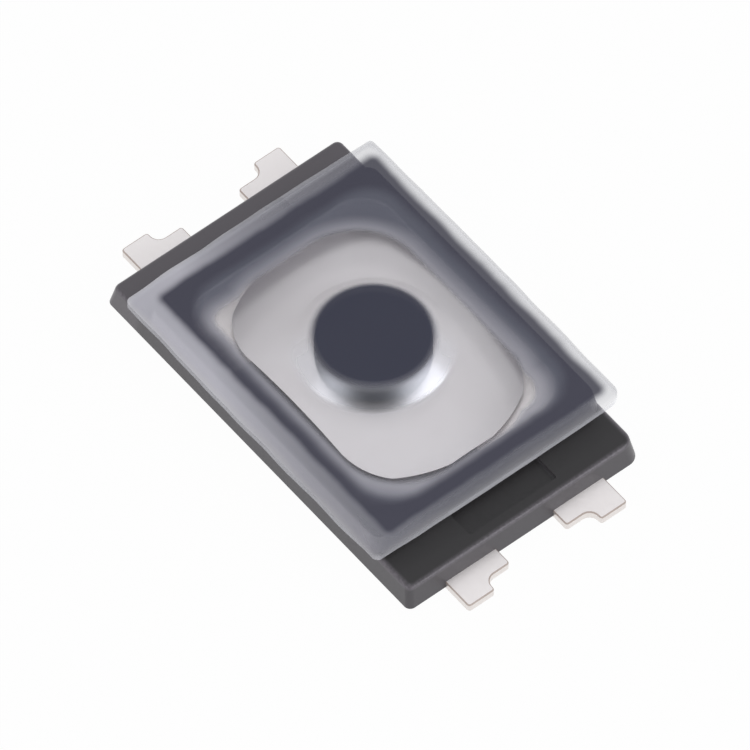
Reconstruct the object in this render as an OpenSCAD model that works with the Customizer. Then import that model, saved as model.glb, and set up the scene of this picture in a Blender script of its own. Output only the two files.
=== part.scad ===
// Low-profile tactile push button switch for surface mounting, in millimetres.
// A moulded base holds three formed contacts. An oblong snap dome rests on its cavity floor,
// and a bonded clear film keeps the dome and the round push plate in.
// +X runs along the length and +Z up. The solder plane is z = 0, and the origin is the middle
// of the footprint in that plane.

/* [Base moulding] */
// Length of the base at its underside
base_len = 2.60; // [2.40:0.01:2.80]
// Width of the base at its underside
base_w = 1.60; // [1.50:0.01:1.80]
// Gap that the terminals keep between the base and the board
base_lift = 0.015; // [0.01:0.005:0.03]
// Length of each end ledge, out from the foot of the rim
ledge_len = 0.29; // [0.22:0.01:0.36]
// Drop from the rim's top to the end ledges
ledge_drop = 0.115; // [0.08:0.005:0.13]
// Draft of the end walls, from foot to top
end_draft = 0.03; // [0.01:0.005:0.05]
// Draft of the flanks, from the underside to the rim's top
flank_draft = 0.04; // [0.02:0.005:0.06]
// Bevel along the ledge's outer edge
ledge_bevel = 0.02; // [0.01:0.005:0.03]
// Radius of the base's plain upright corners
corner_r = 0.04; // [0.02:0.01:0.06]
// Radius of the upright corner that marks the first terminal
mark_corner_r = 0.08; // [0.06:0.01:0.14]
// Radius of the rim's upright corners
rim_corner_r = 0.08; // [0.04:0.01:0.12]
// Width of the shallow recess in each ledge
recess_w = 0.60; // [0.40:0.02:0.80]
// Depth of the shallow recess in each ledge
recess_d = 0.03; // [0.01:0.005:0.04]
// Strip of ledge left outside the recess
recess_margin = 0.05; // [0.03:0.01:0.08]
// Diameter of the holes under the contacts, left by the mould's support pins
pin_hole_d = 0.24; // [0.16:0.02:0.28]

/* [Cavity] */
// Thickness of the rim's end walls at the top
end_wall = 0.12; // [0.08:0.01:0.16]
// Thickness of the rim's flank walls at the top
flank_wall = 0.105; // [0.08:0.005:0.14]
// Radius of the cavity's corners
cavity_r = 0.20; // [0.10:0.01:0.30]
// Thickness of the base under the cavity
floor_t = 0.10; // [0.09:0.005:0.12]

/* [Contacts] */
// Thickness of the contact sheet
sheet_t = 0.05; // [0.04:0.005:0.06]
// Reach of the terminal shoulders past the base
shoulder_out = 0.11; // [0.06:0.01:0.16]
// Reach of the terminal tips past their shoulders
tip_out = 0.085; // [0.07:0.005:0.14]
// Distance between the outer edges of the two terminals on one end
terminal_span = 1.09; // [1.04:0.01:1.16]
// Width of a terminal at its shoulder
shoulder_w = 0.35; // [0.28:0.01:0.40]
// Width of a terminal at its tip
tip_w = 0.18; // [0.12:0.01:0.22]
// Radius where a terminal's tip meets its shoulder
tip_fillet = 0.06; // [0.03:0.01:0.07]
// Distance from the cavity's end wall to the step in the sheet
step_inset = 0.13; // [0.08:0.01:0.18]
// Length of the step in the sheet
step_run = 0.10; // [0.06:0.01:0.14]
// Length of an outer contact's pad inside the cavity
outer_pad_len = 0.42; // [0.30:0.01:0.48]
// Distance from the middle line to an outer contact's pad
outer_pad_gap = 0.10; // [0.06:0.01:0.20]
// Depth to which the moulding holds the edges of the pads
pad_hold = 0.04; // [0.02:0.01:0.06]
// Diameter of the centre contact's pad
centre_pad_d = 0.50; // [0.40:0.01:0.56]
// Width of the strip from the centre pad to its terminals
strip_w = 0.18; // [0.12:0.01:0.24]
// Diameter of the embossed bump on the centre pad
bump_d = 0.26; // [0.20:0.01:0.32]
// Height of the bump over the pad
bump_h = 0.06; // [0.04:0.005:0.065]

/* [Snap dome] */
// Gap between the dome's ends and the cavity
dome_end_gap = 0.06; // [0.04:0.01:0.10]
// Gap between the dome's flanks and the cavity
dome_flank_gap = 0.085; // [0.05:0.005:0.12]
// Depth by which the dome's end arcs are flattened
dome_end_cut = 0.012; // [0.004:0.002:0.03]
// Radius that eases the dome's flanks into its end arcs
dome_corner_r = 0.42; // [0.34:0.01:0.48]
// Distance by which the dome rests to the -X side of its play
dome_shift_x = 0.045; // [0:0.005:0.05]
// Distance by which the dome rests to the +Y side of its play
dome_shift_y = 0.065; // [0:0.005:0.07]
// Rise of the dome's underside over the cavity floor
dome_rise = 0.12; // [0.10:0.005:0.14]
// Thickness of the dome
dome_t = 0.03; // [0.02:0.005:0.035]
// Gap between the dome's crown and the level of the rim's top
crown_gap = 0.015; // [0.01:0.005:0.04]

/* [Push plate] */
// Diameter of the push plate
plate_d = 0.64; // [0.56:0.01:0.72]
// Thickness of the push plate
plate_t = 0.13; // [0.10:0.005:0.15]
// Radius along the push plate's top edge
plate_edge_r = 0.03; // [0.01:0.005:0.04]
// Gap over and under the push plate
plate_gap = 0.003; // [0.001:0.001:0.005]

/* [Cover film] */
// Reach of the film past the rim's top at each end
film_end_lap = 0.11; // [0.06:0.01:0.14]
// Reach of the film past the rim's top along each flank
film_flank_lap = 0.10; // [0.06:0.01:0.12]
// Thickness of the film
film_t = 0.04; // [0.03:0.005:0.05]
// Radius of the film's corners
film_corner_r = 0.03; // [0.01:0.01:0.08]
// Length of the slope that the film makes round the push plate
film_slope = 0.11; // [0.08:0.01:0.14]

/* [Hidden] */
$fn = 48;
// Cuts run past the faces they open by this much
past = 0.1;
// Step, in degrees, between the points of a rounded edge
arc_step = 15;
half_turn = 180;

// Heights over the board, from the underside up
floor_h = base_lift + floor_t;
dome_top = floor_h + dome_rise + dome_t;
rim_h = dome_top + crown_gap;
ledge_h = rim_h - ledge_drop;
plate_bottom = dome_top + plate_gap;
plate_top = plate_bottom + plate_t;
film_in_top = plate_top + plate_gap;

// Lengths and widths, from the outside in
ledge_w = base_w - 2 * flank_draft * (ledge_h - base_lift) / (rim_h - base_lift);
rim_foot_len = base_len - 2 * ledge_len;
rim_len = rim_foot_len - 2 * end_draft;
rim_w = base_w - 2 * flank_draft;
cavity_len = rim_len - 2 * end_wall;
cavity_w = rim_w - 2 * flank_wall;
dome_len = cavity_len - 2 * dome_end_gap;
dome_w = cavity_w - 2 * dome_flank_gap;
dome_d = dome_len + 2 * dome_end_cut;
film_len = rim_len + 2 * film_end_lap;
film_w = rim_w + 2 * film_flank_lap;
film_in_r = plate_d / 2 + plate_gap;

// The dome is part of a sphere that meets the cavity floor along its end arcs
dome_r = (pow(dome_d / 2, 2) + pow(dome_rise, 2)) / (2 * dome_rise);
dome_centre_z = floor_h + dome_rise - dome_r;

// The contacts rise from the board inside the base
centre_rise = base_lift;
outer_rise = floor_h - sheet_t;
centre_pad_top = centre_rise + sheet_t;
hollow_d = bump_d - sheet_t;
step_start = cavity_len / 2 + step_inset;
shoulder_x = base_len / 2 + shoulder_out;
tip_x = shoulder_x + tip_out;
outer_pad_y = cavity_w / 2 + pad_hold;
strip_y = terminal_span / 2 - shoulder_w / 2;

function arc(x, z, r, from, to) =
    [for (a = [from : arc_step * sign(to - from) : to]) [x + r * cos(a), z + r * sin(a)]];

// Rectangle with round corners, centred
module round_rect(len, wide, r) {
    square([len - 2 * r, wide], center = true);
    square([len, wide - 2 * r], center = true);
    for (x = [-1, 1], y = [-1, 1]) {
        translate([x * (len / 2 - r), y * (wide / 2 - r)]) circle(r);
    }
}

// Rectangle whose corner towards +X and +Y has a radius of its own
module marked_rect(len, wide, r, mark_r) {
    difference() {
        round_rect(len, wide, r);
        translate([len / 2 - mark_r, wide / 2 - mark_r]) square(mark_r + past);
    }
    translate([len / 2 - mark_r, wide / 2 - mark_r]) circle(mark_r);
}

// A flat outline drawn in X and Z, drawn out along Y
module along_y(wide) {
    rotate([90, 0, 0]) linear_extrude(wide, center = true) children();
}

// A flat outline drawn in Y and Z, drawn out along X
module along_x(len) {
    rotate([90, 0, 90]) linear_extrude(len, center = true) children();
}

// Section across: one draft on each flank, from the underside up to the film
module width_section() {
    polygon([
        [-base_w / 2, base_lift],
        [base_w / 2, base_lift],
        [rim_w / 2, rim_h],
        [-rim_w / 2, rim_h]
    ]);
}

// Lengthwise section: end walls, ledges and rim
module length_section() {
    ledge_end = base_len / 2 - end_draft;
    right = [
        [base_len / 2, base_lift],
        [ledge_end, ledge_h - ledge_bevel],
        [ledge_end - ledge_bevel, ledge_h],
        [rim_foot_len / 2, ledge_h],
        [rim_len / 2, rim_h]
    ];
    left = [for (i = [len(right) - 1 : -1 : 0]) [-right[i][0], right[i][1]]];
    polygon(concat(right, left));
}

// Solid outside of the moulding
module base_block() {
    intersection() {
        along_x(base_len + past) width_section();
        along_y(base_w + past) length_section();
        union() {
            linear_extrude(ledge_h) marked_rect(base_len, base_w, corner_r, mark_corner_r);
            linear_extrude(rim_h + past) round_rect(rim_foot_len, ledge_w, rim_corner_r);
        }
    }
}

// Shallow recess across the ledge on the +X end
module ledge_recess() {
    recess_end = base_len / 2 - end_draft - ledge_bevel - recess_margin;
    translate([rim_foot_len / 2, -recess_w / 2, ledge_h - recess_d]) {
        cube([recess_end - rim_foot_len / 2, recess_w, recess_d + past]);
    }
}

// Moulded base: outside, cavity, contact seats and the holes of the support pins
module housing() {
    color([0.10, 0.10, 0.11])
    difference() {
        base_block();
        translate([0, 0, floor_h]) {
            linear_extrude(rim_h) round_rect(cavity_len, cavity_w, cavity_r);
        }
        translate([0, 0, centre_pad_top]) cylinder(d = centre_pad_d - 2 * pad_hold, h = rim_h);
        for (turn = [0, half_turn]) {
            rotate([0, 0, turn]) {
                ledge_recess();
                outer_contact_body();
                pin_hole();
            }
        }
        centre_contact_body();
        cylinder(d = hollow_d, h = centre_rise + bump_h);
    }
}

// Hole under an outer contact's pad, where a support pin of the mould stood
module pin_hole() {
    pin_x = cavity_len / 2 - outer_pad_len / 2;
    pin_y = (outer_pad_gap + outer_pad_y) / 2;
    translate([pin_x, pin_y, 0]) cylinder(d = pin_hole_d, h = outer_rise);
}

// Lengthwise section of the sheet on the +X side, stepped up by rise inside the base
module sheet_section(rise) {
    step_end = step_start + step_run;
    polygon([
        [-strip_w / 2, rise],
        [step_start, rise],
        [step_end, 0],
        [tip_x, 0],
        [tip_x, sheet_t],
        [step_end, sheet_t],
        [step_start, rise + sheet_t],
        [-strip_w / 2, rise + sheet_t]
    ]);
}

// Outline of the terminal towards +X and +Y, with its neck reaching in to from_x
module terminal_outline(from_x) {
    outer_y = terminal_span / 2;
    tip_y = outer_y - tip_w;
    translate([from_x, outer_y - shoulder_w]) square([shoulder_x - from_x, shoulder_w]);
    translate([from_x, tip_y]) square([tip_x - from_x, tip_w]);
    difference() {
        translate([shoulder_x, tip_y - tip_fillet]) square(tip_fillet);
        translate([shoulder_x + tip_fillet, tip_y - tip_fillet]) circle(tip_fillet);
    }
}

// Outline of the outer contact towards +X and +Y: pad, neck and terminal
module outer_contact_outline() {
    pad_in = cavity_len / 2 - outer_pad_len;
    pad_out = cavity_len / 2 + pad_hold;
    translate([pad_in, outer_pad_gap]) square([pad_out - pad_in, outer_pad_y - outer_pad_gap]);
    terminal_outline(pad_in);
}

// Formed outer contact towards +X and +Y
module outer_contact_body() {
    intersection() {
        along_y(base_w) sheet_section(outer_rise);
        linear_extrude(rim_h) outer_contact_outline();
    }
}

// Arm of the centre contact, from its pad to the terminal towards +X and -Y
module centre_arm_outline() {
    mirror([0, 1]) terminal_outline(step_start);
    translate([-strip_w / 2, -strip_y - strip_w / 2]) square([step_start + strip_w / 2, strip_w]);
    translate([-strip_w / 2, -strip_y]) square([strip_w, strip_y]);
}

// Formed centre contact, the same after half a turn, with its embossed bump
module centre_contact_body() {
    difference() {
        union() {
            for (turn = [0, half_turn]) {
                rotate([0, 0, turn]) intersection() {
                    along_y(base_w) sheet_section(centre_rise);
                    linear_extrude(rim_h) centre_arm_outline();
                }
            }
            translate([0, 0, centre_rise]) cylinder(d = centre_pad_d, h = sheet_t);
            translate([0, 0, centre_pad_top]) cylinder(d = bump_d, h = bump_h);
        }
        cylinder(d = hollow_d, h = centre_rise + bump_h);
    }
}

module centre_contact() {
    color([0.87, 0.85, 0.83]) centre_contact_body();
}

module first_outer_contact() {
    color([0.87, 0.85, 0.83]) outer_contact_body();
}

module second_outer_contact() {
    color([0.87, 0.85, 0.83]) rotate([0, 0, half_turn]) outer_contact_body();
}

// Snap dome: a thin spherical cap, trimmed to an oblong
module dome() {
    color([0.80, 0.79, 0.78])
    translate([-dome_shift_x, dome_shift_y, 0]) intersection() {
        translate([0, 0, dome_centre_z]) difference() {
            sphere(dome_r + dome_t, $fn = 96);
            sphere(dome_r, $fn = 96);
        }
        linear_extrude(rim_h) {
            intersection() {
                circle(d = dome_d);
                round_rect(dome_len, dome_w, dome_corner_r);
            }
        }
    }
}

// Push plate: a flat disc with a rounded top edge
module push_plate() {
    edge_x = plate_d / 2 - plate_edge_r;
    edge_z = plate_t - plate_edge_r;
    color([0.17, 0.18, 0.22])
    translate([0, 0, plate_bottom]) rotate_extrude() {
        polygon(concat([[0, 0], [plate_d / 2, 0]], arc(edge_x, edge_z, plate_edge_r, 0, 90),
            [[0, plate_t]]));
    }
}

// Cover film: a flat sheet over the rim, formed up over the push plate
module cover_film() {
    foot_r = film_in_r + film_slope;
    color([0.72, 0.75, 0.80, 0.45]) {
        translate([0, 0, rim_h]) linear_extrude(film_t) difference() {
            round_rect(film_len, film_w, film_corner_r);
            circle(foot_r + film_t / 2);
        }
        rotate_extrude() polygon([
            [0, film_in_top],
            [film_in_r, film_in_top],
            [foot_r, rim_h],
            [foot_r + film_t / 2, rim_h],
            [foot_r + film_t / 2, rim_h + film_t],
            [film_in_r + film_t / 2, film_in_top + film_t],
            [0, film_in_top + film_t]
        ]);
    }
}

housing();
centre_contact();
first_outer_contact();
second_outer_contact();
dome();
push_plate();
cover_film();
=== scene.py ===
# Low surface-mount push button switch: a black moulded base, formed contacts, a snap dome,
# a round push plate and a hazy cover film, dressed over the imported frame.
# Pieces are modelled in millimetres and scaled to metres as they are finished.
import math

import bmesh
import bpy
from mathutils import Matrix, Vector, noise


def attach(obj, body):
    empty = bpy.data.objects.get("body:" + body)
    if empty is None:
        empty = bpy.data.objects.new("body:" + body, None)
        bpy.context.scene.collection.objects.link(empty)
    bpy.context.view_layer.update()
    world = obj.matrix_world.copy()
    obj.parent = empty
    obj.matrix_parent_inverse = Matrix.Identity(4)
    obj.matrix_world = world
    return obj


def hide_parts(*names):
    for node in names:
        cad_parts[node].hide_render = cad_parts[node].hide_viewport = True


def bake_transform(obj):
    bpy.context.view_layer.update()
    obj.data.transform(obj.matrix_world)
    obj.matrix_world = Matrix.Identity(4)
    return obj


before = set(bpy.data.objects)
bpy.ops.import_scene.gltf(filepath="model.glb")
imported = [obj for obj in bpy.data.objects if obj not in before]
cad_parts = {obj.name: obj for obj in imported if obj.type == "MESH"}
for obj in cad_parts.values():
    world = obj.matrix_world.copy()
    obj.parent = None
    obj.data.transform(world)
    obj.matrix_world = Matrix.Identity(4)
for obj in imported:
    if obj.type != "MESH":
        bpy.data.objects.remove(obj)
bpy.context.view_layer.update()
toMetres = 0.001
inMillimetres = 1000
halfTurn = math.radians(180)
quarterTurn = math.radians(90)
mergeDistance = 1e-5
belowAll = -0.1  # foot of the tools that cut from underneath
scene = bpy.context.scene
print("frame loaded:", ", ".join(sorted(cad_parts)))


# Camera, placed from the photograph

photoCamera = {
    "imageSize": 750,
    "azimuth": 51.24,  # degrees, round from the front towards +X
    "elevation": 55.21,
    "distance": 160.0,  # mm
    "pixelsPerMm": 185.99,
    "originPixel": (373.5, 380.4),  # where the middle of the footprint falls in the photograph
    "sensor": 36.0,
    "clip": (0.01, 10.0),  # metres
}


def makeCamera():
    size = photoCamera["imageSize"]
    azimuth = math.radians(photoCamera["azimuth"])
    elevation = math.radians(photoCamera["elevation"])
    level = math.cos(elevation)
    back = Vector((math.sin(azimuth) * level, -math.cos(azimuth) * level, math.sin(elevation)))
    right = Vector((math.cos(azimuth), math.sin(azimuth), 0))
    up = back.cross(right)
    offsetX = (size / 2 - photoCamera["originPixel"][0]) / photoCamera["pixelsPerMm"]
    offsetY = (photoCamera["originPixel"][1] - size / 2) / photoCamera["pixelsPerMm"]
    target = right * offsetX + up * offsetY
    data = bpy.data.cameras.new("photoCamera")
    data.sensor_width = photoCamera["sensor"]
    data.lens = photoCamera["pixelsPerMm"] * photoCamera["distance"] * photoCamera["sensor"] / size
    data.clip_start, data.clip_end = photoCamera["clip"]
    camera = bpy.data.objects.new("photoCamera", data)
    scene.collection.objects.link(camera)
    camera.location = (target + back * photoCamera["distance"]) * toMetres
    camera.rotation_mode = "QUATERNION"
    camera.rotation_quaternion = (-back).to_track_quat("-Z", "Y")
    scene.camera = camera
    print("camera placed")


makeCamera()


# Small helpers for materials


def newMaterial(name):
    material = bpy.data.materials.new(name)
    material.use_nodes = True
    nodes = material.node_tree.nodes
    return material, nodes, material.node_tree.links, nodes["Principled BSDF"]


def addGroup(nodes, group, **values):
    node = nodes.new("ShaderNodeGroup")
    node.node_tree = group
    for name, value in values.items():
        node.inputs[name].default_value = value
    return node


def addMath(nodes, links, operation, first, second=None):
    node = nodes.new("ShaderNodeMath")
    node.operation = operation
    for socket, value in zip(node.inputs, (first, second)):
        if value is None:
            continue
        if isinstance(value, (int, float)):
            socket.default_value = value
        else:
            links.new(value, socket)
    return node.outputs[0]


def addMix(nodes, links, factor, first, second):
    node = nodes.new("ShaderNodeMix")
    node.data_type = "RGBA"
    for socket, value in ((node.inputs[0], factor), (node.inputs[6], first), (node.inputs[7], second)):
        if isinstance(value, (int, float, tuple)):
            socket.default_value = value
        else:
            links.new(value, socket)
    return node.outputs[2]


def addRange(nodes, links, value, fromLow, fromHigh, toLow, toHigh):
    node = nodes.new("ShaderNodeMapRange")
    node.interpolation_type = "SMOOTHSTEP"
    links.new(value, node.inputs["Value"])
    node.inputs["From Min"].default_value = fromLow
    node.inputs["From Max"].default_value = fromHigh
    node.inputs["To Min"].default_value = toLow
    node.inputs["To Max"].default_value = toHigh
    return node.outputs["Result"]


def addPlace(nodes, links):
    place = nodes.new("ShaderNodeTexCoord")
    parts = nodes.new("ShaderNodeSeparateXYZ")
    links.new(place.outputs["Object"], parts.inputs[0])
    return parts.outputs


def addMillimetres(nodes, links, value):
    return addMath(nodes, links, "MULTIPLY", value, inMillimetres)


# Shader groups that several finishes share

speckleDetail = 3
speckleSpan = (0.3, 0.7)  # where most of the noise lies


def makeSpeckleGroup():
    group = bpy.data.node_groups.new("surfaceSpeckle", "ShaderNodeTree")
    interface = group.interface
    interface.new_socket("Fine size", in_out="INPUT", socket_type="NodeSocketFloat")
    interface.new_socket("Broad size", in_out="INPUT", socket_type="NodeSocketFloat")
    interface.new_socket("Fine", in_out="OUTPUT", socket_type="NodeSocketFloat")
    interface.new_socket("Broad", in_out="OUTPUT", socket_type="NodeSocketFloat")
    nodes, links = group.nodes, group.links
    inputs = nodes.new("NodeGroupInput")
    outputs = nodes.new("NodeGroupOutput")
    place = nodes.new("ShaderNodeTexCoord")
    for name in ("Fine", "Broad"):
        texture = nodes.new("ShaderNodeTexNoise")
        texture.inputs["Detail"].default_value = speckleDetail
        scale = addMath(nodes, links, "DIVIDE", inMillimetres, inputs.outputs[name + " size"])
        links.new(place.outputs["Object"], texture.inputs["Vector"])
        links.new(scale, texture.inputs["Scale"])
        links.new(texture.outputs["Fac"], outputs.inputs[name])
    return group


def makeRoundRectGroup():
    group = bpy.data.node_groups.new("roundRectDistance", "ShaderNodeTree")
    interface = group.interface
    for name in ("Middle X", "Middle Y", "Half length", "Half width", "Corner radius"):
        interface.new_socket(name, in_out="INPUT", socket_type="NodeSocketFloat")
    interface.new_socket("Distance", in_out="OUTPUT", socket_type="NodeSocketFloat")
    nodes, links = group.nodes, group.links
    inputs = nodes.new("NodeGroupInput")
    outputs = nodes.new("NodeGroupOutput")
    place = addPlace(nodes, links)
    radius = inputs.outputs["Corner radius"]
    past = []
    for axis, name in (("X", "Half length"), ("Y", "Half width")):
        along = addMillimetres(nodes, links, place[axis])
        fromMiddle = addMath(nodes, links, "SUBTRACT", along, inputs.outputs["Middle " + axis])
        size = addMath(nodes, links, "ABSOLUTE", fromMiddle)
        core = addMath(nodes, links, "SUBTRACT", inputs.outputs[name], radius)
        past.append(addMath(nodes, links, "SUBTRACT", size, core))
    outside = [addMath(nodes, links, "MAXIMUM", value, 0.0) for value in past]
    squares = [addMath(nodes, links, "MULTIPLY", value, value) for value in outside]
    length = addMath(nodes, links, "SQRT", addMath(nodes, links, "ADD", *squares))
    inside = addMath(nodes, links, "MINIMUM", addMath(nodes, links, "MAXIMUM", *past), 0.0)
    total = addMath(nodes, links, "ADD", length, inside)
    links.new(addMath(nodes, links, "SUBTRACT", total, radius), outputs.inputs["Distance"])
    return group


speckleGroup = makeSpeckleGroup()
roundRectGroup = makeRoundRectGroup()


def addSpeckle(nodes, fineSize, broadSize):
    return addGroup(nodes, speckleGroup, **{"Fine size": fineSize, "Broad size": broadSize})


def addSpread(nodes, links, value, low, high):
    return addRange(nodes, links, value, *speckleSpan, low, high)


def addBump(nodes, links, shader, height, distance):
    bump = nodes.new("ShaderNodeBump")
    bump.inputs["Distance"].default_value = distance * toMetres
    links.new(height, bump.inputs["Height"])
    links.new(bump.outputs["Normal"], shader.inputs["Normal"])
    return bump


# A speckled finish, from its own dictionary
def makeFinish(name, look):
    material, nodes, links, shader = newMaterial(name)
    speckle = addSpeckle(nodes, *look["speckle"])
    colour = addMix(nodes, links, speckle.outputs[look["mottle"]], *look["colours"])
    links.new(colour, shader.inputs["Base Color"])
    smoothest, roughest = look["roughness"]
    shader.inputs["Roughness"].default_value = smoothest
    if roughest > smoothest:
        grain = addSpread(nodes, links, speckle.outputs["Fine"], smoothest, roughest)
        links.new(grain, shader.inputs["Roughness"])
    shader.inputs["Metallic"].default_value = look["metallic"]
    shader.inputs["Specular IOR Level"].default_value = look["specular"]
    addBump(nodes, links, shader, speckle.outputs[look["grain"]], look["bump"])
    return material


# Small helpers for meshes, in millimetres

meshLook = {
    "bevelSteps": 2,
    "outlineSteps": 6,
    "discSegments": 64,
    "creaseAngle": 0.3,  # radians, past which an edge may be bevelled
}


def roundCorner(bm, corner, radius, steps):
    bmesh.ops.bevel(
        bm,
        geom=[corner],
        offset=radius,
        offset_type="OFFSET",
        segments=steps,
        profile=0.5,
        affect="VERTICES",
        material=-1,
    )


def outlineMesh(points, height, radii, roundSteps=meshLook["outlineSteps"]):
    bm = bmesh.new()
    corners = [bm.verts.new((x, y, height)) for x, y in points]
    bm.faces.new(corners)
    for index, radius in radii.items():
        roundCorner(bm, corners[index], radius, roundSteps)
    return bm


def extrudeUp(bm, lift, scaleX=1.0, scaleY=1.0):
    raised = bmesh.ops.extrude_face_region(bm, geom=bm.faces[:])["geom"]
    top = [part for part in raised if isinstance(part, bmesh.types.BMVert)]
    bmesh.ops.translate(bm, verts=top, vec=(0, 0, lift))
    bmesh.ops.scale(bm, verts=top, vec=(scaleX, scaleY, 1))
    bmesh.ops.recalc_face_normals(bm, faces=bm.faces[:])
    return top


def bevelEdges(bm, edges, width, steps=meshLook["bevelSteps"]):
    bmesh.ops.bevel(
        bm,
        geom=edges,
        offset=width,
        offset_type="OFFSET",
        segments=steps,
        profile=0.5,
        affect="EDGES",
        material=-1,
    )


def levelEdges(bm, height):
    found = []
    for edge in bm.edges:
        level = all(abs(vert.co.z - height) < mergeDistance for vert in edge.verts)
        if level and len(edge.link_faces) == 2:
            if edge.calc_face_angle() > meshLook["creaseAngle"]:
                found.append(edge)
    return found


def cutAt(bm, place, normal, clear):
    geometry = bm.verts[:] + bm.edges[:] + bm.faces[:]
    bmesh.ops.bisect_plane(bm, geom=geometry, plane_co=place, plane_no=normal, clear_outer=clear)


def trimTo(bm, halfLength, halfWidth, radii, steps):
    for side in (-1, 1):
        cutAt(bm, (side * halfLength, 0, 0), (side, 0, 0), True)
        cutAt(bm, (0, side * halfWidth, 0), (0, side, 0), True)
    for (sideX, sideY), radius in radii.items():
        middle = Vector((sideX * (halfLength - radius), sideY * (halfWidth - radius), 0))
        for step in range(1, steps):
            angle = quarterTurn * step / steps
            normal = Vector((sideX * math.cos(angle), sideY * math.sin(angle), 0))
            cutAt(bm, middle + radius * normal, normal, True)


def spinProfile(places, steps):
    bm = bmesh.new()
    verts = [bm.verts.new((x, 0, z)) for x, z in places]
    edges = [bm.edges.new(pair) for pair in zip(verts, verts[1:])]
    bmesh.ops.spin(
        bm,
        geom=verts + edges,
        cent=(0, 0, 0),
        axis=(0, 0, 1),
        angle=math.tau,
        steps=steps,
        use_merge=True,
        use_duplicate=False,
    )
    bmesh.ops.remove_doubles(bm, verts=bm.verts[:], dist=mergeDistance)
    bmesh.ops.recalc_face_normals(bm, faces=bm.faces[:])
    return bm


def spinSheet(heightAt, outerRadius, rings, steps):
    radii = [outerRadius * ring / rings for ring in range(rings + 1)]
    bm = spinProfile([(radius, heightAt(radius)) for radius in radii], steps)
    if sum(face.normal.z for face in bm.faces) < 0:
        bmesh.ops.reverse_faces(bm, faces=bm.faces[:])
    return bm


def thicken(piece, thickness):
    modifier = piece.modifiers.new("thickness", "SOLIDIFY")
    modifier.thickness = thickness
    modifier.offset = 1
    modifier.use_even_offset = False
    applyModifiers(piece)


def rectPoints(length, width):
    x, y = length / 2, width / 2
    return [(-x, -y), (x, -y), (x, y), (-x, y)]


def meshObject(bm, name):
    mesh = bpy.data.meshes.new(name)
    bm.to_mesh(mesh)
    bm.free()
    piece = bpy.data.objects.new(name, mesh)
    scene.collection.objects.link(piece)
    return piece


def combine(target, tool, operation):
    modifier = target.modifiers.new("combine", "BOOLEAN")
    modifier.operation = operation
    modifier.solver = "EXACT"
    modifier.object = tool
    applyModifiers(target)
    bpy.data.objects.remove(tool)
    return target


def applyModifiers(piece):
    shaped = piece.evaluated_get(bpy.context.evaluated_depsgraph_get())
    shaped = bpy.data.meshes.new_from_object(shaped)
    old = piece.data
    piece.modifiers.clear()
    piece.data = shaped
    bpy.data.meshes.remove(old)
    return piece


def finishPiece(piece, smoothAngle, materials, body, nodes):
    for polygon in piece.data.polygons:
        polygon.use_smooth = True
    piece.data.set_sharp_from_angle(angle=math.radians(smoothAngle))
    if body:
        evened = piece.modifiers.new("evenShading", "WEIGHTED_NORMAL")
        evened.keep_sharp = True
        applyModifiers(piece)
    piece.data.transform(Matrix.Scale(toMetres, 4))
    for material in materials:
        piece.data.materials.append(material)
    if body:
        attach(piece, body)
    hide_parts(*nodes)
    print(piece.name, "finished with", len(piece.data.polygons), "faces")
    return piece


# Sheet contacts: stamped outlines, lifted inside the base

contacts = {
    "sheet": 0.05,
    "neckInner": 0.195,  # from the middle line, along Y
    "neckOuter": 0.545,
    "tipInner": 0.365,
    "shoulderX": 1.41,
    "tipX": 1.495,
    "padX": (0.44, 0.90),
    "padY": (0.10, 0.695),
    "filletRadius": 0.058,
    "cornerRadius": 0.018,
    "bendX": (0.99, 1.09),
    "outerLift": 0.065,
    "centreLift": 0.015,
    "stripY": (0.28, 0.46),
    "stripHalf": 0.09,
    "discRadius": 0.25,
    "bumpRadius": 0.13,
    "bumpHeight": 0.06,
    "hollowRadius": 0.105,
    "edgeRoll": 0.007,
    "flatFace": 0.95,  # upright part of the normal, above which a face is the sheet's own
    "shearedFace": 0.3,  # and below which it is the sheared side
    "bendTolerance": 1e-4,
    "discOverlap": 0.01,
    "flatAngle": 0.01,
    "smoothAngle": 32,
}


contactFinishes = {
    "platedContactSheet": {
        "speckle": (0.03, 0.30),  # fine and broad size
        "mottle": "Broad",
        "colours": ((0.93, 0.88, 0.865, 1), (0.97, 0.925, 0.91, 1)),
        "metallic": 0.55,
        "specular": 0.5,
        "roughness": (0.40, 0.48),
        "grain": "Fine",
        "bump": 0.0003,
    },
    "shearedContactSide": {
        "speckle": (0.02, 0.15),
        "mottle": "Fine",
        "colours": ((0.80, 0.75, 0.72, 1), (0.86, 0.82, 0.80, 1)),
        "metallic": 0.8,
        "specular": 0.5,
        "roughness": (0.35, 0.35),
        "grain": "Fine",
        "bump": 0.0004,
    },
    "rolledContactEdge": {
        "speckle": (0.02, 0.12),
        "mottle": "Broad",
        "colours": ((0.46, 0.38, 0.34, 1), (0.60, 0.52, 0.48, 1)),
        "metallic": 0.7,
        "specular": 0.5,
        "roughness": (0.5, 0.5),
        "grain": "Fine",
        "bump": 0.0004,
    },
}
contactMetals = [makeFinish(name, look) for name, look in contactFinishes.items()]


def bendSheet(bm, lift):
    start, end = contacts["bendX"]
    for side in (-1, 1):
        for place in (start, end):
            cutAt(bm, (side * place, 0, 0), (1, 0, 0), False)
    inner = [vert for vert in bm.verts if abs(vert.co.x) < start + contacts["bendTolerance"]]
    bmesh.ops.translate(bm, verts=inner, vec=(0, 0, lift))


def markCutFaces(bm):
    for face in bm.faces:
        level = abs(face.normal.z)
        sheared = level < contacts["shearedFace"]
        face.material_index = 0 if level > contacts["flatFace"] else 1 if sheared else 2


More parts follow.
